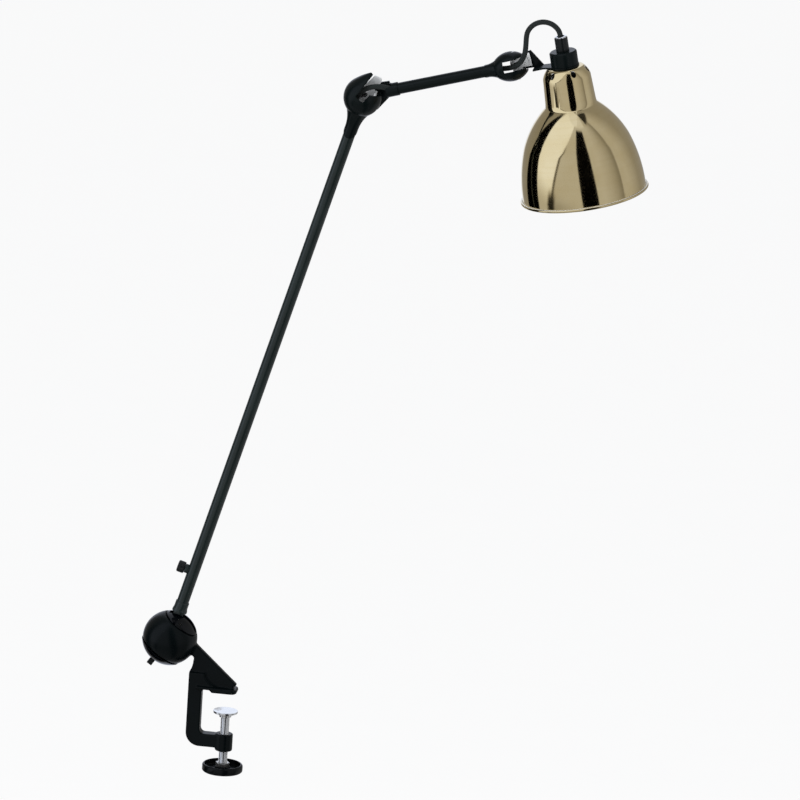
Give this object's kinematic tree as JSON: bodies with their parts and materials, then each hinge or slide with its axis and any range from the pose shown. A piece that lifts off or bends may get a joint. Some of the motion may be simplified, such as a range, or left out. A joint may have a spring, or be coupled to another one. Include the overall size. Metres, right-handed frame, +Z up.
{
  "type": "clip-on desk lamp",
  "caption": "Clamp-mounted desk lamp: ball swivel on a cast clamp, two tube arms, hood-shaped fork joints, spun bell shade and a braided flex loop.",
  "frame": {"origin": "underside of the upper jaw, over the axis of the clamp screw", "axes": "+Z up, +X along the jaw away from the spine of the clamp and towards the shade, +Y away from the front view"},
  "size_m": [0.5223, 0.14, 0.8816],
  "materials": {
    "satin_black": "satin black enamel with a slight green-grey sheen",
    "gloss_black": "glossy black enamel over a turned casting",
    "cast_black": "semi-gloss black enamel on a sand casting",
    "plated": "bright plated steel",
    "zinc": "plain zinc plated steel",
    "black_resin": "moulded black resin",
    "spun_brass": "spun brass, satin, lacquered, white inside",
    "braid": "black braided cotton over flex",
    "clear_glass": "frosted lamp glass"
  },
  "bodies": {
    "clamp": {"clamp_frame": "cast_black"},
    "screw_carrier": {"pressure_disc": "plated"},
    "screw": {"clamp_screw": "plated", "handwheel": "black_resin", "wheel_nut": "zinc"},
    "swivel": {"ball_upper_dome": "gloss_black", "ball_lower_cap": "gloss_black", "ball_stud": "zinc", "tilt_pin": "zinc", "spring_washer": "zinc"},
    "long_arm": {"arm_knuckle": "satin_black", "foot_sleeve": "satin_black", "long_tube": "satin_black", "switch_collar": "satin_black", "lead_bush": "black_resin", "elbow_fork": "satin_black", "elbow_swing_pins": "zinc", "cord_long_arm": "braid", "cord_elbow_lower": "braid"},
    "knob": {"switch_knob": "black_resin"},
    "elbow_stirrup_body": {"elbow_stirrup": "plated", "elbow_bend_screw": "plated", "elbow_bend_nut": "zinc", "cord_elbow_upper": "braid"},
    "short_arm": {"short_socket": "satin_black", "short_tube": "satin_black", "head_fork": "satin_black", "head_swing_pins": "zinc", "cord_short_arm": "braid", "cord_loop_lower": "braid"},
    "head_stirrup_body": {"head_stirrup": "plated", "head_tilt_screw": "plated", "head_tilt_nut": "zinc", "cord_loop_upper": "braid"},
    "head": {"head_bracket": "satin_black", "holder_collar": "satin_black", "cord_grip": "black_resin", "grip_ring": "plated", "shade": "spun_brass", "lampholder": "black_resin", "shade_ring": "black_resin", "bulb_glass": "clear_glass", "bulb_cap": "zinc"}
  },
  "joints": [
    {"name": "screw_travel", "type": "slide", "parent": "clamp", "child": "screw_carrier", "axis": [0, 0, 1], "range_m": [-0.015, 0.013]},
    {"name": "screw_turn", "type": "hinge", "parent": "screw_carrier", "child": "screw", "pos_m": [0, 0, -0.05], "axis": [0, 0, 1], "range_deg": [-3600, 3120]},
    {"name": "base_swivel", "type": "hinge", "parent": "clamp", "child": "swivel", "pos_m": [-0.065, 0, 0.055], "axis": [0.5592, 0, 0.829], "range_deg": [-160, 160]},
    {"name": "base_tilt", "type": "hinge", "parent": "swivel", "child": "long_arm", "pos_m": [-0.065, 0, 0.055], "axis": [0, 1, 0], "range_deg": [-7, 43]},
    {"name": "switch_turn", "type": "hinge", "parent": "long_arm", "child": "knob", "pos_m": [-0.05312, 0, 0.13474], "axis": [-0.9632, 0, 0.2689], "continuous": true},
    {"name": "elbow_swing", "type": "hinge", "parent": "long_arm", "child": "elbow_stirrup_body", "pos_m": [0.11114, 0, 0.68587], "axis": [0.9632, 0, -0.2689], "range_deg": [-12, 60], "deforming": ["cord_elbow_lower"]},
    {"name": "elbow_bend", "type": "hinge", "parent": "elbow_stirrup_body", "child": "short_arm", "pos_m": [0.11114, 0, 0.68587], "axis": [0, 1, 0], "range_deg": [-20, 50], "deforming": ["cord_elbow_upper"]},
    {"name": "head_swing", "type": "hinge", "parent": "short_arm", "child": "head_stirrup_body", "pos_m": [0.27545, 0, 0.73673], "axis": [0.2957, 0, -0.9553], "range_deg": [-30, 20], "deforming": ["cord_loop_lower"]},
    {"name": "head_tilt", "type": "hinge", "parent": "head_stirrup_body", "child": "head", "pos_m": [0.27545, 0, 0.73673], "axis": [0, 1, 0], "range_deg": [-60, 45], "deforming": ["cord_loop_upper"]}
  ],
  "couplings": [
    {"joint": "screw_turn", "follows": "screw_travel", "rad_per_m": 4188.8}
  ]
}
